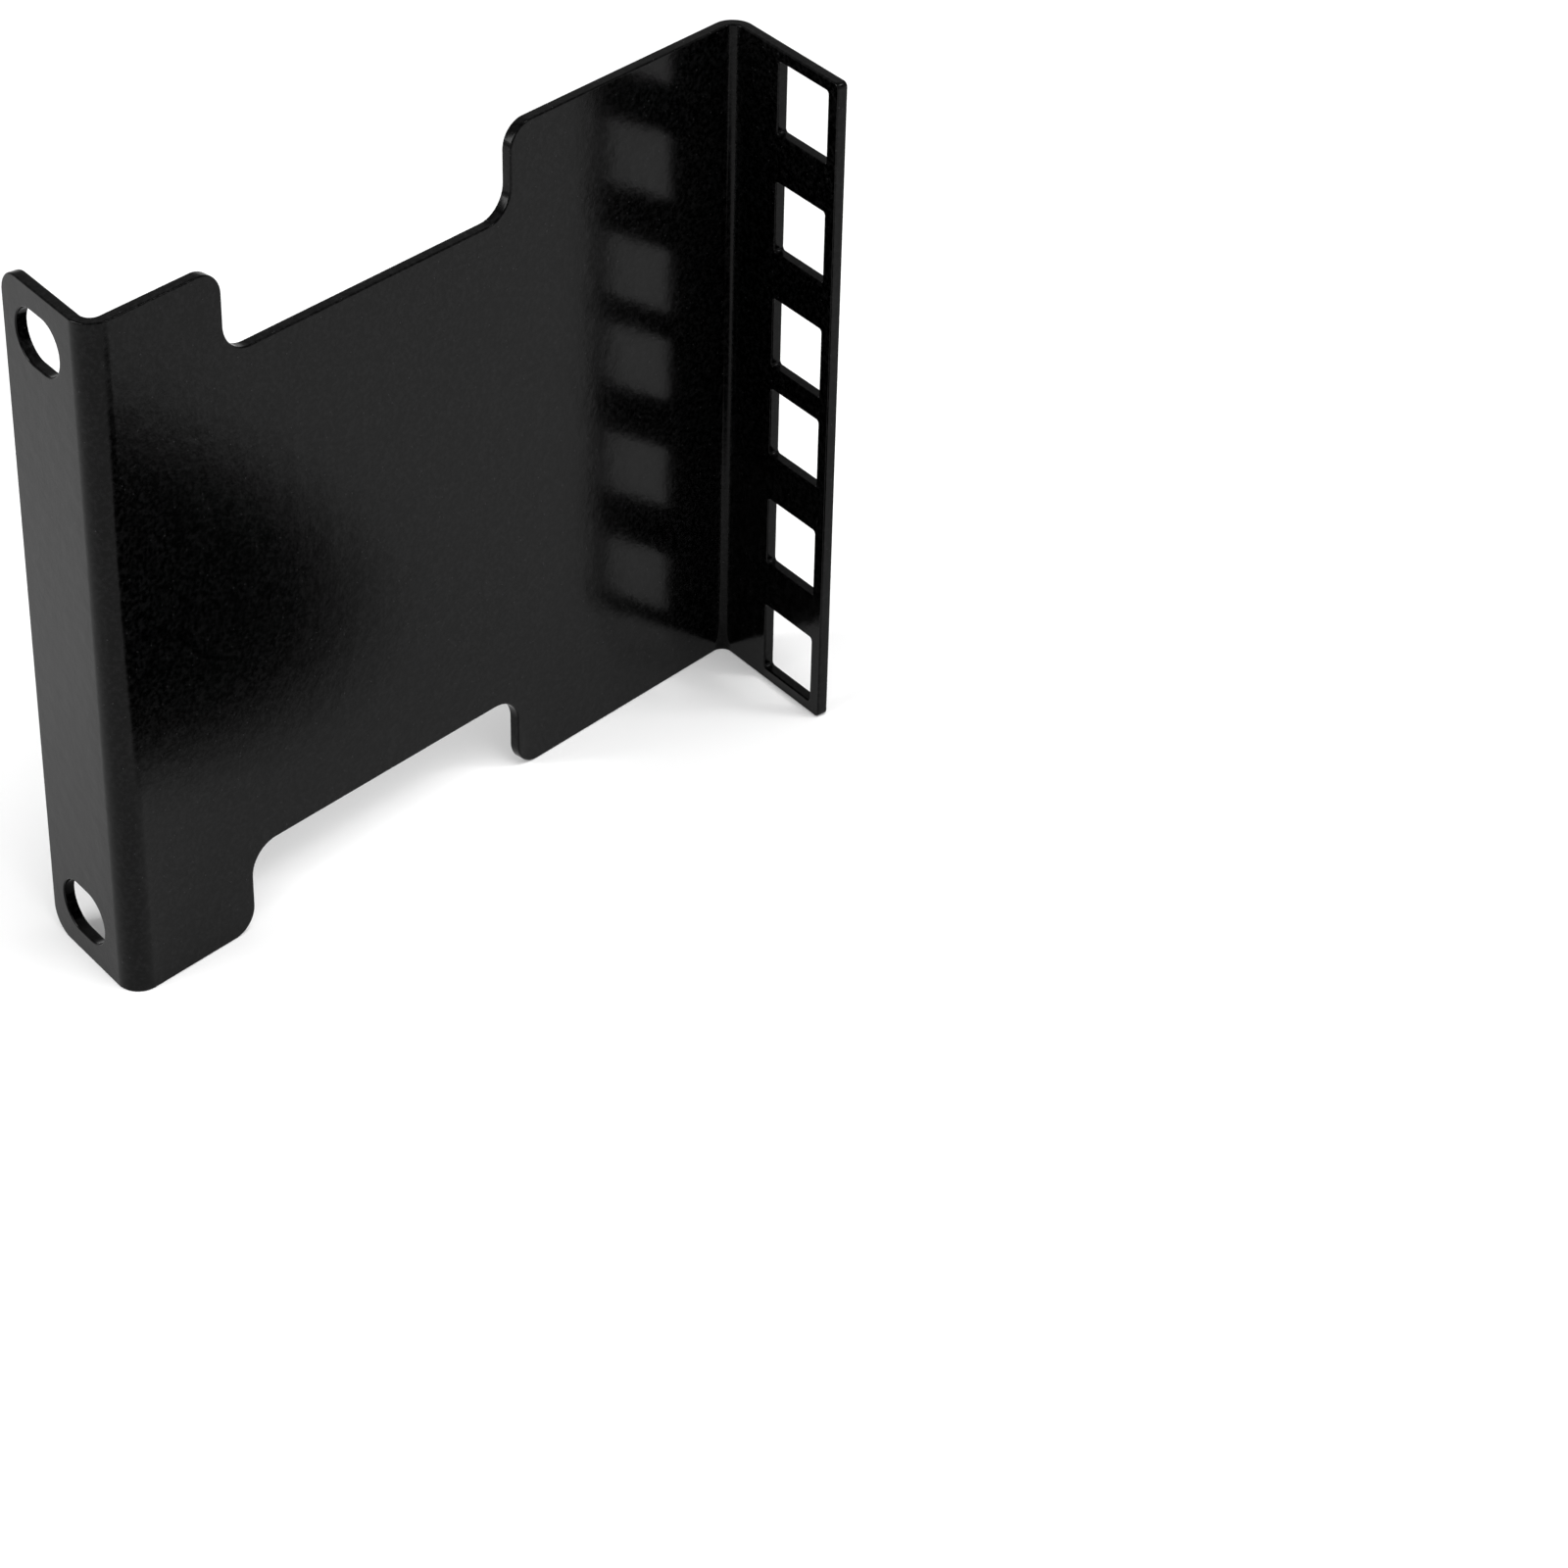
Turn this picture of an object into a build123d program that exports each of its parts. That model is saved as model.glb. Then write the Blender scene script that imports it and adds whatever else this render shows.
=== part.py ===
"""Depth extender bracket for a two-unit rack bay, folded from one sheet of steel.

The sheet is bent twice, in opposite directions, into a Z section that stands on its cut end.
The narrow flange has two slots and bolts to the rack's own rail. The web carries the load
across the added depth. The wide flange has square cage-nut holes and becomes the new rail.
The flanges are parallel. The web slants between them, which brings the square holes back
towards the line of the slots.

X runs along the depth, from the slot flange to the hole flange. Y is across the rails.
Z is the height. The origin is on the ground, under the middle of the bounding box.
"""

import os
from math import cos, radians, sin, tan

from build123d import *

# Rack standard, in millimetres
rack_unit = 44.45
unit_count = 2
first_hole_height = 6.35
hole_pitch = 15.875
holes_per_unit = 3

# Sheet, with the web's slant in degrees
sheet_thickness = 1.5
inner_bend_radius = 1.3
extension_depth = 101.6
web_slant = 11.5
slot_flange_width = 18.1
hole_flange_width = 20.5

# Notches in the two ends of the web, measured along its slant
notch_start = 19.4
notch_length = 44.7
notch_depth = 11.2
notch_mouth_radius = 3.3
notch_root_radius = 3.8

# Slots for the screws into the rack's rail
slot_length = 9.3
slot_height = 6.8
slot_margin = 2.75

# Square holes for cage nuts
square_hole_side = 9.5
square_hole_corner_radius = 0.4
square_hole_margin = 1.85

# Free corners of the flanges
slot_flange_corner_radius = 3.3
hole_flange_corner_radius = 0.7

# Derived sizes, in a plan that starts at the corner between the slot flange and the web
bracket_height = unit_count * rack_unit
outer_bend_radius = inner_bend_radius + sheet_thickness
hole_flange_front_x = extension_depth - sheet_thickness
rise_per_depth = tan(radians(web_slant))
hole_flange_edge_y = extension_depth * rise_per_depth - hole_flange_width
slot_centre_y = slot_flange_width - slot_margin - slot_length / 2
square_hole_centre_y = hole_flange_edge_y + square_hole_margin + square_hole_side / 2
cut_reach = 2 * sheet_thickness

# Heights of the rail's holes, unit by unit
hole_heights = [
    unit * rack_unit + first_hole_height + row * hole_pitch
    for unit in range(unit_count)
    for row in range(holes_per_unit)
]


def folded_sheet() -> Part:
    """Blank bent into the Z section, along the web's front face, with the sheet behind it."""
    with BuildPart() as sheet:
        with BuildLine():
            FilletPolyline(
                (0, slot_flange_width),
                (0, 0),
                (hole_flange_front_x, hole_flange_front_x * rise_per_depth),
                (hole_flange_front_x, hole_flange_edge_y),
                radius=(outer_bend_radius, inner_bend_radius),
            )
        make_brake_formed(sheet_thickness, bracket_height, side=Side.LEFT)
    return sheet.part


def flange_plane(face_x: float) -> Plane:
    """Plane on a flange's outer face: its first axis is across the rails, its second is up."""
    return Plane(origin=(face_x, 0, 0), x_dir=(0, 1, 0), z_dir=(1, 0, 0))


def web_plane() -> Plane:
    """Plane on the web's front face: its first axis follows the slant, its second is up."""
    slant = radians(web_slant)
    along = (cos(slant), sin(slant), 0)
    forward = (sin(slant), -cos(slant), 0)
    return Plane(origin=(0, 0, 0), x_dir=along, z_dir=forward)


def extender_bracket() -> Part:
    """The bent sheet with its rounded corners, notches, slots and square holes."""
    with BuildPart() as bracket:
        add(folded_sheet())

        # Free corners of the flanges
        flange_corners = bracket.edges().filter_by(Axis.X).group_by(Axis.Y)
        fillet(flange_corners[-1], slot_flange_corner_radius)
        fillet(flange_corners[0], hole_flange_corner_radius)

        # A notch in each end of the web, for cables and for the cage nuts' tool
        web_front = web_plane()
        notch_centre = notch_start + notch_length / 2
        with BuildSketch(web_front):
            with Locations((notch_centre, 0), (notch_centre, bracket_height)):
                Rectangle(notch_length, 2 * notch_depth)
        extrude(amount=cut_reach, both=True, mode=Mode.SUBTRACT)

        # Rounded mouths and roots of the notches
        across_web = Axis(web_front.origin, web_front.z_dir)
        levels = bracket.edges().filter_by(across_web).group_by(Axis.Z)
        fillet(levels[0] + levels[-1], notch_mouth_radius)
        fillet(levels[1] + levels[-2], notch_root_radius)

        # Two slots, level with the rail's first and last holes
        with BuildSketch(flange_plane(0)):
            with Locations((slot_centre_y, hole_heights[0]), (slot_centre_y, hole_heights[-1])):
                SlotOverall(slot_length, slot_height)
        extrude(amount=cut_reach, both=True, mode=Mode.SUBTRACT)

        # Square holes at the rail's own spacing
        with BuildSketch(flange_plane(extension_depth)):
            with Locations(*[(square_hole_centre_y, height) for height in hole_heights]):
                RectangleRounded(square_hole_side, square_hole_side, square_hole_corner_radius)
        extrude(amount=cut_reach, both=True, mode=Mode.SUBTRACT)
    return bracket.part


os.makedirs("parts", exist_ok=True)
bracket_part = extender_bracket()
middle = bracket_part.bounding_box().center()
bracket_part = Pos(-middle.X, -middle.Y, 0) * bracket_part
bracket_part.label = "extender_bracket"
export_step(bracket_part, "parts/extender_bracket.step")
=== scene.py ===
"""Looks of a rack depth extender: one folded steel sheet with a satin black powder coat.

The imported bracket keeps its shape. It gets rounded cut edges, a coat with a fine grain, a pale
floor to stand on, soft studio light and a camera at the photograph's viewing angle.
Every length is in metres.
"""

import logging
from dataclasses import dataclass, field
from math import radians

import bmesh
import bpy
from mathutils import Matrix, Vector


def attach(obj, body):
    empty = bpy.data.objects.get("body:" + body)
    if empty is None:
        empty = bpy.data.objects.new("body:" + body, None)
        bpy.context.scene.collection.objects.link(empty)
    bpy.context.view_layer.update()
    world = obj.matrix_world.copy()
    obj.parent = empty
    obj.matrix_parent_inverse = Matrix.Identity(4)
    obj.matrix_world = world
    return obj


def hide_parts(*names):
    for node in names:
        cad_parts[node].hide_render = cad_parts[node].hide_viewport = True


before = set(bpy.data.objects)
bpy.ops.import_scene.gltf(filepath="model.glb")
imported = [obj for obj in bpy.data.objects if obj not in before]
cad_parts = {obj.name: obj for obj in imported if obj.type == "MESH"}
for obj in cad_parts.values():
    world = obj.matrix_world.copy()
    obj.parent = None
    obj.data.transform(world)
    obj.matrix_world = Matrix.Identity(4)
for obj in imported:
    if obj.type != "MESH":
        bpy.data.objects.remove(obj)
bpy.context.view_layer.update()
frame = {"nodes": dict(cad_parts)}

PHOTOGRAPH_WIDTH = 1600
SENSOR_WIDTH_MM = 36.0

log = logging.getLogger("bracket_looks")


def new_material(name: str) -> tuple[bpy.types.Material, bpy.types.NodeTree]:
    """Makes an empty node material.

    Args:
        name: Name of the material.

    Returns:
        The material and its node tree, with no nodes in it.
    """
    material = bpy.data.materials.new(name)
    material.use_nodes = True
    material.node_tree.nodes.clear()
    return material, material.node_tree


def white_for_sight(tree: bpy.types.NodeTree) -> bpy.types.NodeSocket:
    """Adds the mask of the rays that see the studio's white: camera, gloss and glass rays.

    Args:
        tree: Node tree of the floor.

    Returns:
        The output that is 1 for those rays and 0 for the rest.
    """
    path = tree.nodes.new("ShaderNodeLightPath")
    mask = path.outputs["Is Camera Ray"]
    for kind in ("Is Glossy Ray", "Is Transmission Ray"):
        either = tree.nodes.new("ShaderNodeMath")
        either.operation = "MAXIMUM"
        tree.links.new(mask, either.inputs[0])
        tree.links.new(path.outputs[kind], either.inputs[1])
        mask = either.outputs[0]
    return mask


@dataclass(frozen=True)
class CoatGrain:
    """Node group of the powder coat's relief: fine grain, slow waves and stray specks."""

    name: str = "coat_grain"
    inputs: tuple[str, ...] = (
        "Grain Scale",
        "Wave Scale",
        "Wave Share",
        "Cloud Scale",
        "Speck Scale",
        "Speck Size",
    )
    outputs: tuple[str, ...] = ("Height", "Clouds", "Mottle", "Specks")
    grain_octaves: float = 3.0
    grain_roughness: float = 0.55
    wave_octaves: float = 1.0
    wave_roughness: float = 0.4
    cloud_octaves: float = 2.0
    cloud_roughness: float = 0.5

    def group(self) -> bpy.types.NodeTree:
        """Gives the group, and builds it the first time.

        Returns:
            The shader node group, with the relief's height, the cloudiness and the speck mask.
        """
        known = bpy.data.node_groups.get(self.name)
        if known:
            return known
        tree = bpy.data.node_groups.new(self.name, "ShaderNodeTree")
        self._sockets(tree)
        source = tree.nodes.new("NodeGroupInput")
        result = tree.nodes.new("NodeGroupOutput")
        grain = self._noise(tree, source, "Grain Scale", self.grain_octaves, self.grain_roughness)
        waves = self._noise(tree, source, "Wave Scale", self.wave_octaves, self.wave_roughness)
        clouds = self._noise(tree, source, "Cloud Scale", self.cloud_octaves, self.cloud_roughness)
        tree.links.new(self._relief(tree, source, grain, waves), result.inputs["Height"])
        tree.links.new(clouds, result.inputs["Clouds"])
        tree.links.new(grain, result.inputs["Mottle"])
        tree.links.new(self._specks(tree, source), result.inputs["Specks"])
        return tree

    def _sockets(self, tree: bpy.types.NodeTree) -> None:
        """Makes the group's inputs and outputs.

        Args:
            tree: The group's tree.
        """
        make = tree.interface.new_socket
        make(name="Vector", in_out="INPUT", socket_type="NodeSocketVector")
        for name in self.inputs:
            make(name=name, in_out="INPUT", socket_type="NodeSocketFloat")
        for name in self.outputs:
            make(name=name, in_out="OUTPUT", socket_type="NodeSocketFloat")

    @staticmethod
    def _noise(
        tree: bpy.types.NodeTree,
        source: bpy.types.Node,
        scale: str,
        octaves: float,
        roughness: float,
    ) -> bpy.types.NodeSocket:
        """Adds one noise that reads its scale from a group input.

        Args:
            tree: The group's tree.
            source: The group's input node.
            scale: Name of the input that gives the scale.
            octaves: Finer layers of the noise.
            roughness: Share that each finer octave keeps.

        Returns:
            The noise's value.
        """
        noise = tree.nodes.new("ShaderNodeTexNoise")
        noise.inputs["Detail"].default_value = octaves
        noise.inputs["Roughness"].default_value = roughness
        tree.links.new(source.outputs["Vector"], noise.inputs["Vector"])
        tree.links.new(source.outputs[scale], noise.inputs["Scale"])
        return noise.outputs["Fac"]

    @staticmethod
    def _relief(
        tree: bpy.types.NodeTree,
        source: bpy.types.Node,
        grain: bpy.types.NodeSocket,
        waves: bpy.types.NodeSocket,
    ) -> bpy.types.NodeSocket:
        """Adds the waves to the grain, in the share that the group's input gives.

        Args:
            tree: The group's tree.
            source: The group's input node.
            grain: Value of the fine grain.
            waves: Value of the slow waves.

        Returns:
            The height of the relief.
        """
        mix = tree.nodes.new("ShaderNodeMath")
        mix.operation = "MULTIPLY_ADD"
        tree.links.new(waves, mix.inputs[0])
        tree.links.new(source.outputs["Wave Share"], mix.inputs[1])
        tree.links.new(grain, mix.inputs[2])
        return mix.outputs[0]

    @staticmethod
    def _specks(tree: bpy.types.NodeTree, source: bpy.types.Node) -> bpy.types.NodeSocket:
        """Marks a small disc round the middle of each cell of a Voronoi pattern.

        Args:
            tree: The group's tree.
            source: The group's input node.

        Returns:
            The mask of the specks.
        """
        cells = tree.nodes.new("ShaderNodeTexVoronoi")
        tree.links.new(source.outputs["Vector"], cells.inputs["Vector"])
        tree.links.new(source.outputs["Speck Scale"], cells.inputs["Scale"])
        inside = tree.nodes.new("ShaderNodeMath")
        inside.operation = "LESS_THAN"
        tree.links.new(cells.outputs["Distance"], inside.inputs[0])
        tree.links.new(source.outputs["Speck Size"], inside.inputs[1])
        return inside.outputs[0]


@dataclass(frozen=True)
class PowderCoat:
    """Satin black powder coat over steel."""

    name: str = "satin_black_powder_coat"
    dark_colour: tuple[float, float, float] = (0.0, 0.0, 0.0)
    pale_colour: tuple[float, float, float] = (0.0034, 0.0034, 0.0035)
    speck_colour: tuple[float, float, float] = (0.022, 0.022, 0.023)
    specular_level: float = 0.10
    ior: float = 1.5
    mottle_from: float = 0.44
    mottle_to: float = 0.64
    gloss_roughness: float = 0.14
    dull_roughness: float = 0.18
    grain_scale: float = 1900.0
    wave_scale: float = 420.0
    wave_share: float = 2.5
    cloud_scale: float = 160.0
    speck_scale: float = 900.0
    speck_size: float = 0.07
    relief_strength: float = 0.16
    relief_depth: float = 0.00006

    def build(self) -> bpy.types.Material:
        """Makes the material.

        Returns:
            The coat's node material, in object coordinates.
        """
        material, tree = new_material(self.name)
        place = tree.nodes.new("ShaderNodeTexCoord")
        relief = tree.nodes.new("ShaderNodeGroup")
        relief.node_tree = CoatGrain().group()
        for socket, value in (
            ("Grain Scale", self.grain_scale),
            ("Wave Scale", self.wave_scale),
            ("Wave Share", self.wave_share),
            ("Cloud Scale", self.cloud_scale),
            ("Speck Scale", self.speck_scale),
            ("Speck Size", self.speck_size),
        ):
            relief.inputs[socket].default_value = value
        tree.links.new(place.outputs["Object"], relief.inputs["Vector"])

        surface = tree.nodes.new("ShaderNodeBsdfPrincipled")
        surface.inputs["IOR"].default_value = self.ior
        surface.inputs["Specular IOR Level"].default_value = self.specular_level
        tree.links.new(self._colour(tree, relief), surface.inputs["Base Color"])
        tree.links.new(self._roughness(tree, relief), surface.inputs["Roughness"])
        tree.links.new(self._bump(tree, relief), surface.inputs["Normal"])
        output = tree.nodes.new("ShaderNodeOutputMaterial")
        tree.links.new(surface.outputs["BSDF"], output.inputs["Surface"])
        return material

    def _colour(
        self, tree: bpy.types.NodeTree, relief: bpy.types.Node
    ) -> bpy.types.NodeSocket:
        """Mottles the coat's black and mixes the specks into it.

        Args:
            tree: The coat's node tree.
            relief: The coat's grain node.

        Returns:
            The coat's colour.
        """
        spread = tree.nodes.new("ShaderNodeMapRange")
        spread.inputs["From Min"].default_value = self.mottle_from
        spread.inputs["From Max"].default_value = self.mottle_to
        tree.links.new(relief.outputs["Mottle"], spread.inputs["Value"])
        black = tree.nodes.new("ShaderNodeMix")
        black.data_type = "RGBA"
        black.inputs["A"].default_value = (*self.dark_colour, 1.0)
        black.inputs["B"].default_value = (*self.pale_colour, 1.0)
        tree.links.new(spread.outputs["Result"], black.inputs["Factor"])
        mix = tree.nodes.new("ShaderNodeMix")
        mix.data_type = "RGBA"
        mix.inputs["B"].default_value = (*self.speck_colour, 1.0)
        tree.links.new(black.outputs["Result"], mix.inputs["A"])
        tree.links.new(relief.outputs["Specks"], mix.inputs["Factor"])
        return mix.outputs["Result"]

    def _roughness(
        self, tree: bpy.types.NodeTree, relief: bpy.types.Node
    ) -> bpy.types.NodeSocket:
        """Turns the clouds into a roughness between the glossiest and the dullest.

        Args:
            tree: The coat's node tree.
            relief: The coat's grain node.

        Returns:
            The coat's roughness.
        """
        spread = tree.nodes.new("ShaderNodeMapRange")
        spread.inputs["To Min"].default_value = self.gloss_roughness
        spread.inputs["To Max"].default_value = self.dull_roughness
        tree.links.new(relief.outputs["Clouds"], spread.inputs["Value"])
        return spread.outputs["Result"]

    def _bump(
        self, tree: bpy.types.NodeTree, relief: bpy.types.Node
    ) -> bpy.types.NodeSocket:
        """Turns the relief's height into a normal.

        Args:
            tree: The coat's node tree.
            relief: The coat's grain node.

        Returns:
            The coat's normal.
        """
        bump = tree.nodes.new("ShaderNodeBump")
        bump.inputs["Strength"].default_value = self.relief_strength
        bump.inputs["Distance"].default_value = self.relief_depth
        tree.links.new(relief.outputs["Height"], bump.inputs["Height"])
        return bump.outputs["Normal"]


@dataclass
class FoldedBracket:
    """The bracket itself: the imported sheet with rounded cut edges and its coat."""

    name: str = "coated_bracket"
    node: str = "extender_bracket"
    body: str = "root"
    slot: str = "coated_steel"
    weld_distance: float = 1e-6
    flat_angle: float = radians(1.0)
    seams_across: tuple[float, ...] = (-0.00410, -0.00017)
    edge_radius: float = 0.00022
    edge_segments: int = 3
    edge_angle: float = radians(60.0)
    coat: PowderCoat = field(default_factory=PowderCoat)

    def build(self, nodes: dict[str, bpy.types.Object]) -> bpy.types.Object:
        """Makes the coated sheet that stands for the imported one.

        Args:
            nodes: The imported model's pieces by name.

        Returns:
            The dressed bracket.
        """
        shape = bmesh.new()
        shape.from_mesh(nodes[self.node].data)
        bmesh.ops.remove_doubles(shape, verts=shape.verts, dist=self.weld_distance)
        self._clear_flats(shape)
        self._round_edges(shape)
        for face in shape.faces:
            face.smooth = True
        mesh = bpy.data.meshes.new(self.name)
        shape.to_mesh(mesh)
        shape.free()
        mesh.materials.append(self.coat.build())
        bracket = bpy.data.objects.new(self.name, mesh)
        bpy.context.scene.collection.objects.link(bracket)
        bracket.modifiers.new("even_shading", "WEIGHTED_NORMAL")
        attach(bracket, self.body)
        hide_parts(self.node)
        return bracket

    def _clear_flats(self, shape: bmesh.types.BMesh) -> None:
        """Joins the triangles of each flat, save where a seam passes its holes.

        Args:
            shape: The sheet, with its loose triangles joined.
        """
        for across in self.seams_across:
            cut = bmesh.ops.bisect_plane(
                shape,
                geom=[*shape.verts, *shape.edges, *shape.faces],
                dist=self.weld_distance,
                plane_co=(0.0, across, 0.0),
                plane_no=(0.0, 1.0, 0.0),
            )
            for part in cut["geom_cut"]:
                if isinstance(part, bmesh.types.BMEdge):
                    part.seam = True
        bmesh.ops.dissolve_limit(
            shape,
            angle_limit=self.flat_angle,
            verts=shape.verts,
            edges=shape.edges,
            delimit={"SEAM"},
        )

    def _round_edges(self, shape: bmesh.types.BMesh) -> None:
        """Rounds each cut edge of the sheet, as the coat does.

        Args:
            shape: The sheet, with each flat in a few large faces.
        """
        sharp = [
            edge for edge in shape.edges if edge.calc_face_angle(0.0) > self.edge_angle
        ]
        bmesh.ops.bevel(
            shape,
            geom=sharp,
            offset=self.edge_radius,
            offset_type="OFFSET",
            segments=self.edge_segments,
            profile=0.5,
            affect="EDGES",
            clamp_overlap=False,
            material=-1,
        )


@dataclass(frozen=True)
class PaleFloor:
    """Plain white table top that keeps the bracket's shadow."""

    radius: float = 3.0
    corners: int = 96
    colour: tuple[float, float, float] = (0.86, 0.86, 0.86)
    sight_glow: float = 0.12

    def build(self) -> bpy.types.Object:
        """Makes the floor as a round sheet under the origin.

        Returns:
            The floor's object.
        """
        shape = bmesh.new()
        bmesh.ops.create_circle(
            shape, cap_ends=True, segments=self.corners, radius=self.radius
        )
        mesh = bpy.data.meshes.new("pale_floor")
        shape.to_mesh(mesh)
        shape.free()
        mesh.materials.append(self._material())
        floor = bpy.data.objects.new("pale_floor", mesh)
        bpy.context.scene.collection.objects.link(floor)
        return floor

    def _material(self) -> bpy.types.Material:
        """Makes the matt white of the table, with a faint glow that only sight meets.

        Returns:
            The floor's node material.
        """
        material, tree = new_material("pale_floor")
        matt = tree.nodes.new("ShaderNodeBsdfDiffuse")
        matt.inputs["Color"].default_value = (*self.colour, 1.0)
        strength = tree.nodes.new("ShaderNodeMath")
        strength.operation = "MULTIPLY"
        strength.inputs[1].default_value = self.sight_glow
        glow = tree.nodes.new("ShaderNodeEmission")
        both = tree.nodes.new("ShaderNodeAddShader")
        output = tree.nodes.new("ShaderNodeOutputMaterial")
        tree.links.new(white_for_sight(tree), strength.inputs[0])
        tree.links.new(strength.outputs[0], glow.inputs["Strength"])
        tree.links.new(matt.outputs[0], both.inputs[0])
        tree.links.new(glow.outputs[0], both.inputs[1])
        tree.links.new(both.outputs[0], output.inputs["Surface"])
        return material


@dataclass(frozen=True)
class PaintedReflectionCard:
    """Black card beside the bracket that the gloss alone meets: it paints a dark reflection into
    the bracket's coat, where nothing real stands to cast it.
    """

    centre: tuple[float, float] = (0.010, -0.085)
    half_length: float = 0.066
    half_width: float = 0.054
    turn: float = radians(90.0)
    lift: float = 0.0005
    corners: int = 48
    solid_share: float = 0.70

    def build(self) -> bpy.types.Object:
        """Makes the card as an oval sheet just over the floor.

        Returns:
            The card's object.
        """
        shape = bmesh.new()
        bmesh.ops.create_circle(shape, cap_ends=True, segments=self.corners, radius=1.0)
        place = (
            Matrix.Translation((*self.centre, self.lift))
            @ Matrix.Rotation(self.turn, 4, "Z")
            @ Matrix.Diagonal((self.half_length, self.half_width, 1.0, 1.0))
        )
        bmesh.ops.transform(shape, matrix=place, verts=shape.verts)
        mesh = bpy.data.meshes.new("painted_reflection_card")
        shape.to_mesh(mesh)
        shape.free()
        mesh.materials.append(self._material())
        card = bpy.data.objects.new("painted_reflection_card", mesh)
        # Only glossy rays meet the card, so it paints a dark patch into the bracket's reflection.
        card.visible_camera = False
        card.visible_diffuse = False
        card.visible_shadow = False
        bpy.context.scene.collection.objects.link(card)
        return card

    def _material(self) -> bpy.types.Material:
        """Makes the card's black, the painted dark reflection, which thins out towards its rim.

        Returns:
            The card's node material.
        """
        material, tree = new_material("painted_reflection_card")
        place = tree.nodes.new("ShaderNodeTexCoord")
        centring = tree.nodes.new("ShaderNodeMapping")
        centring.vector_type = "TEXTURE"
        centring.inputs["Location"].default_value = (*self.centre, self.lift)
        centring.inputs["Rotation"].default_value = (0.0, 0.0, self.turn)
        centring.inputs["Scale"].default_value = (self.half_length, self.half_width, 1.0)
        fall = tree.nodes.new("ShaderNodeTexGradient")
        fall.gradient_type = "SPHERICAL"
        cover = tree.nodes.new("ShaderNodeMapRange")
        cover.interpolation_type = "SMOOTHSTEP"
        cover.inputs["From Max"].default_value = 1.0 - self.solid_share
        clear = tree.nodes.new("ShaderNodeBsdfTransparent")
        matt = tree.nodes.new("ShaderNodeBsdfDiffuse")
        matt.inputs["Color"].default_value = (0.0, 0.0, 0.0, 1.0)
        both = tree.nodes.new("ShaderNodeMixShader")
        output = tree.nodes.new("ShaderNodeOutputMaterial")
        tree.links.new(place.outputs["Object"], centring.inputs["Vector"])
        tree.links.new(centring.outputs["Vector"], fall.inputs["Vector"])
        tree.links.new(fall.outputs["Fac"], cover.inputs["Value"])
        tree.links.new(cover.outputs["Result"], both.inputs["Fac"])
        tree.links.new(clear.outputs[0], both.inputs[1])
        tree.links.new(matt.outputs[0], both.inputs[2])
        tree.links.new(both.outputs[0], output.inputs["Surface"])
        return material


@dataclass(frozen=True)
class Softbox:
    """Soft lamp that faces a point of the bracket."""

    name: str
    place: tuple[float, float, float]
    aim: tuple[float, float, float]
    width: float
    height: float
    power: float
    in_gloss: bool = True

    def build(self) -> bpy.types.Object:
        """Makes the lamp.

        Returns:
            The lamp's object.
        """
        lamp = bpy.data.lights.new(self.name, "AREA")
        lamp.shape = "RECTANGLE"
        lamp.size = self.width
        lamp.size_y = self.height
        lamp.energy = self.power
        box = bpy.data.objects.new(self.name, lamp)
        box.visible_glossy = self.in_gloss
        away = Vector(self.aim) - Vector(self.place)
        turn = away.to_track_quat("-Z", "Y").to_matrix().to_4x4()
        box.matrix_world = Matrix.Translation(self.place) @ turn
        bpy.context.scene.collection.objects.link(box)
        return box


@dataclass(frozen=True)
class StudioRoom:
    """World round the table: white at the horizon and a grey ceiling."""

    white: tuple[float, float, float] = (1.0, 1.0, 1.0)
    ceiling: tuple[float, float, float] = (0.32, 0.32, 0.32)
    white_up_to: float = 0.05
    ceiling_from: float = 0.32

    def build(self) -> bpy.types.World:
        """Makes the world and gives it to the scene.

        Returns:
            The world.
        """
        world = bpy.data.worlds.new("studio_room")
        world.use_nodes = True
        tree = world.node_tree
        tree.nodes.clear()
        place = tree.nodes.new("ShaderNodeTexCoord")
        parts = tree.nodes.new("ShaderNodeSeparateXYZ")
        rise = tree.nodes.new("ShaderNodeMapRange")
        rise.interpolation_type = "SMOOTHSTEP"
        rise.inputs["From Min"].default_value = self.white_up_to
        rise.inputs["From Max"].default_value = self.ceiling_from
        mix = tree.nodes.new("ShaderNodeMix")
        mix.data_type = "RGBA"
        mix.inputs["A"].default_value = (*self.white, 1.0)
        mix.inputs["B"].default_value = (*self.ceiling, 1.0)
        sky = tree.nodes.new("ShaderNodeBackground")
        output = tree.nodes.new("ShaderNodeOutputWorld")
        tree.links.new(place.outputs["Generated"], parts.inputs[0])
        tree.links.new(parts.outputs["Z"], rise.inputs["Value"])
        tree.links.new(rise.outputs["Result"], mix.inputs["Factor"])
        tree.links.new(mix.outputs["Result"], sky.inputs["Color"])
        tree.links.new(sky.outputs[0], output.inputs["Surface"])
        bpy.context.scene.world = world
        return world


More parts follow.
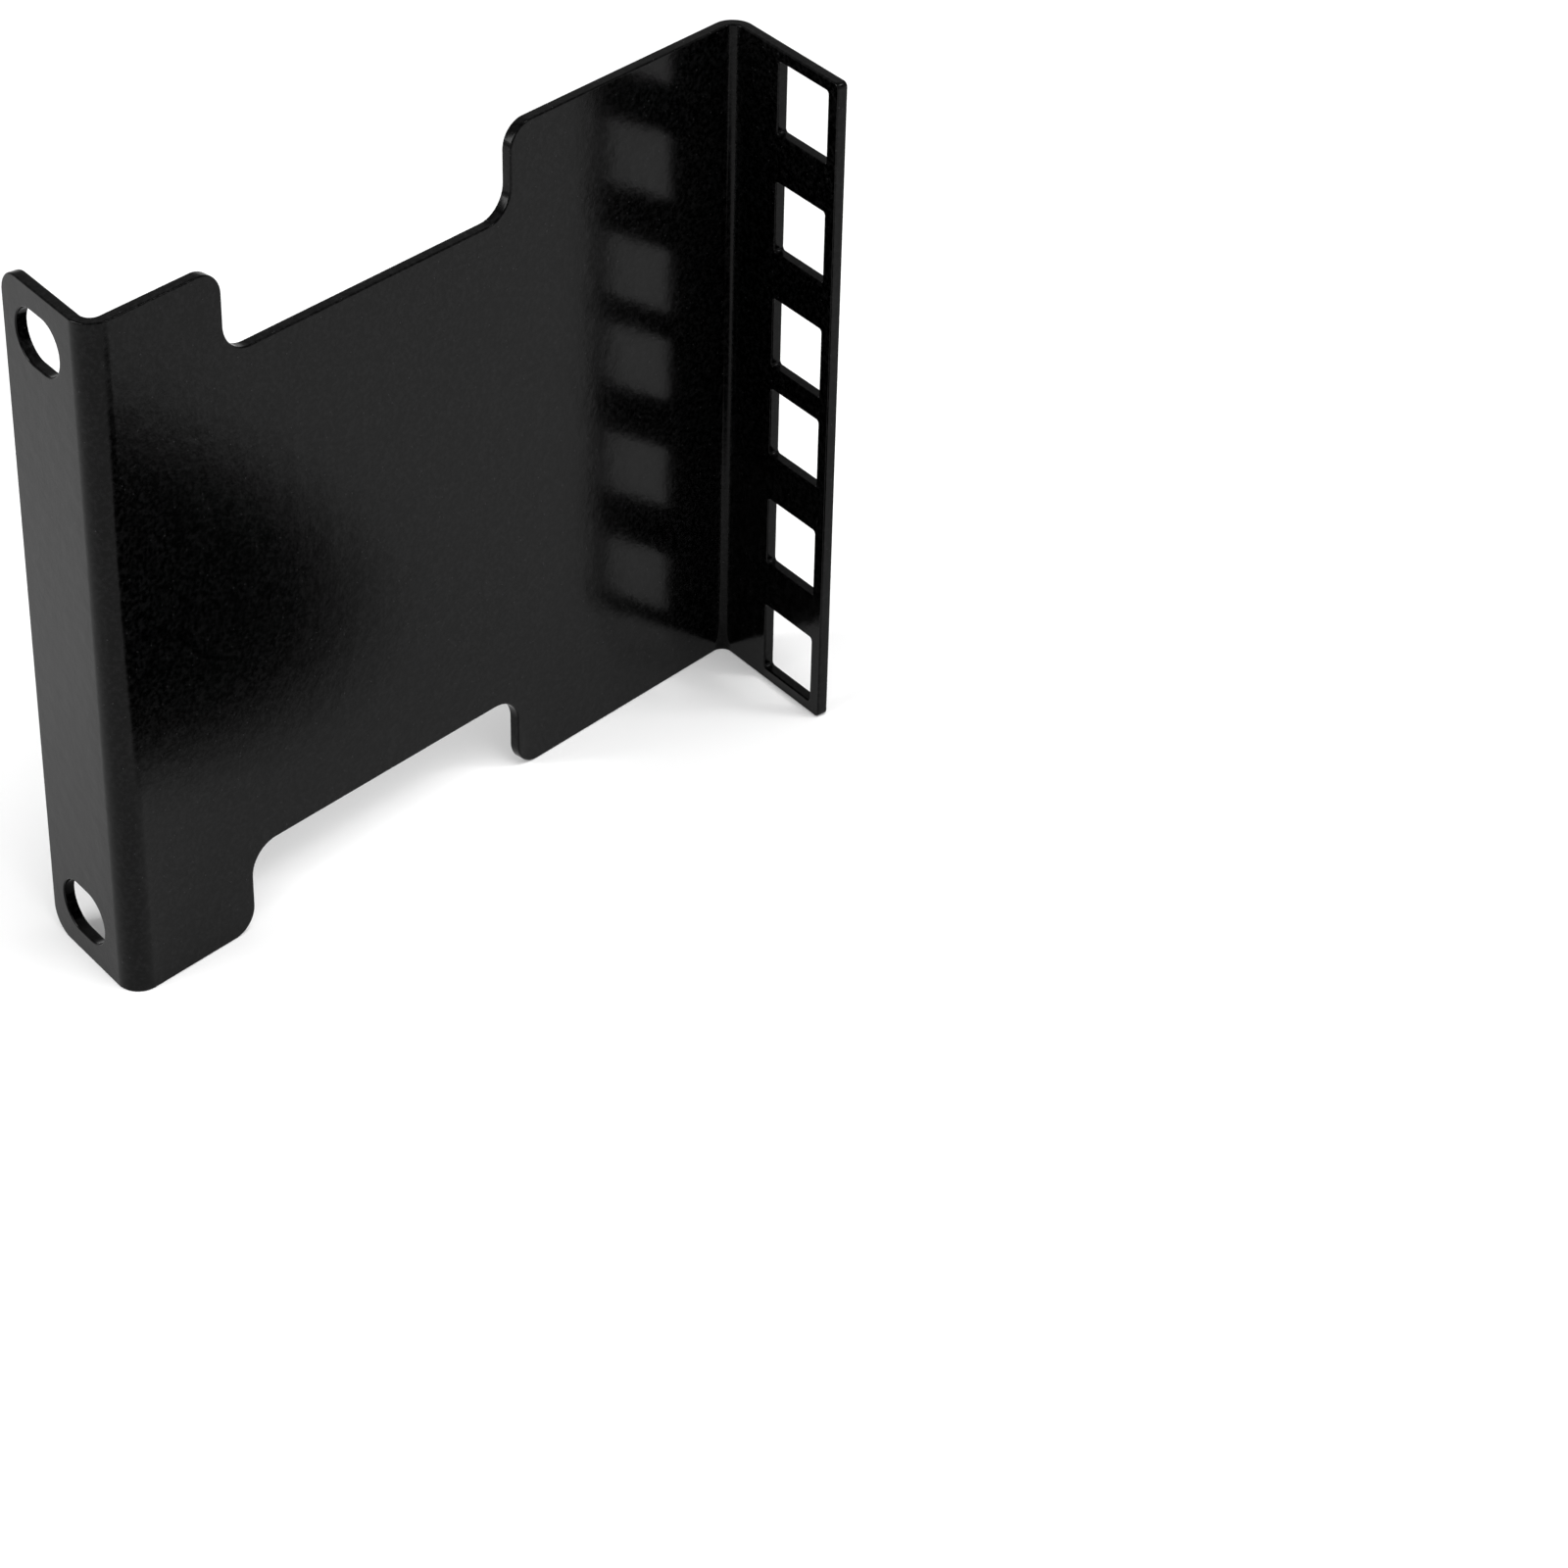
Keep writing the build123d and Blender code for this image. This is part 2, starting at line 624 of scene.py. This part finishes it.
@dataclass(frozen=True)
class StudioCamera:
    """Camera at the photograph's viewing angle."""

    place: tuple[float, float, float] = (-0.24912, -0.38512, 0.32817)
    ahead: tuple[float, float, float] = (0.50349, 0.64275, -0.57738)
    right: tuple[float, float, float] = (0.79673, -0.60392, 0.02248)
    focal_pixels: float = 4660.9
    near: float = 0.01
    far: float = 20.0

    def build(self) -> bpy.types.Object:
        """Makes the camera and gives it to the scene.

        Returns:
            The camera's object.
        """
        lens = bpy.data.cameras.new("studio_camera")
        lens.sensor_width = SENSOR_WIDTH_MM
        lens.lens = self.focal_pixels / PHOTOGRAPH_WIDTH * SENSOR_WIDTH_MM
        lens.clip_start = self.near
        lens.clip_end = self.far
        camera = bpy.data.objects.new("studio_camera", lens)
        back = -Vector(self.ahead).normalized()
        across = Vector(self.right)
        across = (across - across.dot(back) * back).normalized()
        turn = Matrix((across, back.cross(across), back)).transposed()
        camera.matrix_world = Matrix.Translation(self.place) @ turn.to_4x4()
        bpy.context.scene.collection.objects.link(camera)
        bpy.context.scene.camera = camera
        return camera


@dataclass
class Studio:
    """Floor, painted-reflection card, lamps, room and camera round the bracket."""

    floor: PaleFloor = field(default_factory=PaleFloor)
    card: PaintedReflectionCard = field(default_factory=PaintedReflectionCard)
    room: StudioRoom = field(default_factory=StudioRoom)
    camera: StudioCamera = field(default_factory=StudioCamera)
    lamps: tuple[Softbox, ...] = (
        Softbox(
            name="side_lamp",
            place=(-0.60, 0.00, 0.50),
            aim=(0.0, 0.0, 0.045),
            width=0.30,
            height=0.30,
            power=1.6,
        ),
        Softbox(
            name="edge_lamp",
            place=(-0.50, 0.222, 0.36),
            aim=(0.012, 0.002, 0.085),
            width=0.14,
            height=0.42,
            power=1.8,
        ),
        Softbox(
            name="front_lamp",
            place=(0.45, -0.37, 0.70),
            aim=(0.0, 0.0, 0.045),
            width=0.14,
            height=0.14,
            power=1.0,
        ),
        Softbox(
            name="top_lamp",
            place=(0.10, -0.28, 0.62),
            aim=(0.0, 0.0, 0.0),
            width=0.60,
            height=0.50,
            power=3.9,
            in_gloss=False,
        ),
    )

    def build(self) -> list[bpy.types.Object]:
        """Makes all of it.

        Returns:
            The objects that were made.
        """
        floor = self.floor.build()
        card = self.card.build()
        self.room.build()
        return [floor, card, *(lamp.build() for lamp in self.lamps), self.camera.build()]


def set_view() -> None:
    """Shows colours as they are written."""
    bpy.context.scene.view_settings.view_transform = "Standard"


def main() -> None:
    """Dresses the bracket and sets up the studio round it."""
    logging.basicConfig(level=logging.INFO, format="%(message)s")
    bracket = FoldedBracket().build(frame["nodes"])
    log.info("bracket: %s", bracket.name)
    for piece in Studio().build():
        log.info("studio: %s", piece.name)
    set_view()


if __name__ == "__main__":
    main()
